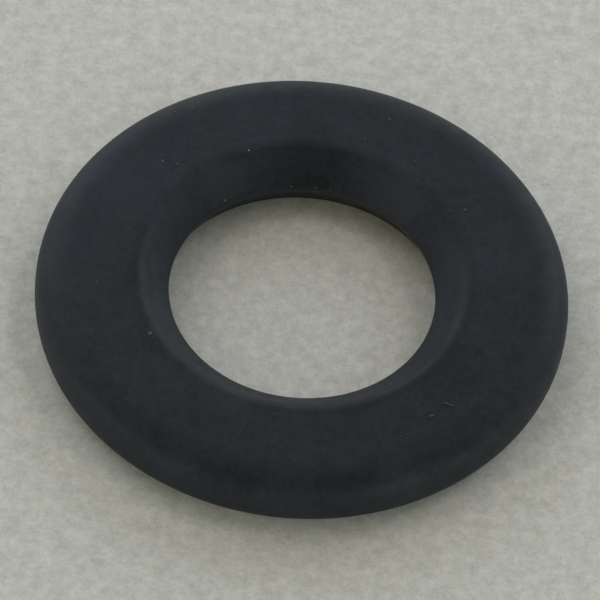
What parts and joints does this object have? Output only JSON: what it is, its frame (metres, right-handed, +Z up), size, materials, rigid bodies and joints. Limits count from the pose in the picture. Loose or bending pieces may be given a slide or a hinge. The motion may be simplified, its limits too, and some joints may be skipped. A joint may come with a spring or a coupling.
{
  "type": "knob gasket",
  "caption": "One-piece moulded rubber ring that cushions and seals a knob: flat faces, a full rounded outer edge, and a countersunk hole with a short straight throat.",
  "frame": {"origin": "on the ring's axis, at the plane of the flat underside that it rests on", "axes": "+Z up along the ring's axis, towards the countersunk face; X and Y lie in the underside"},
  "size_m": [0.03, 0.03, 0.0036],
  "materials": {
    "rubber": "matt moulded black rubber with a soft sheen"
  },
  "bodies": {
    "root": {"gasket": "rubber"}
  },
  "joints": []
}
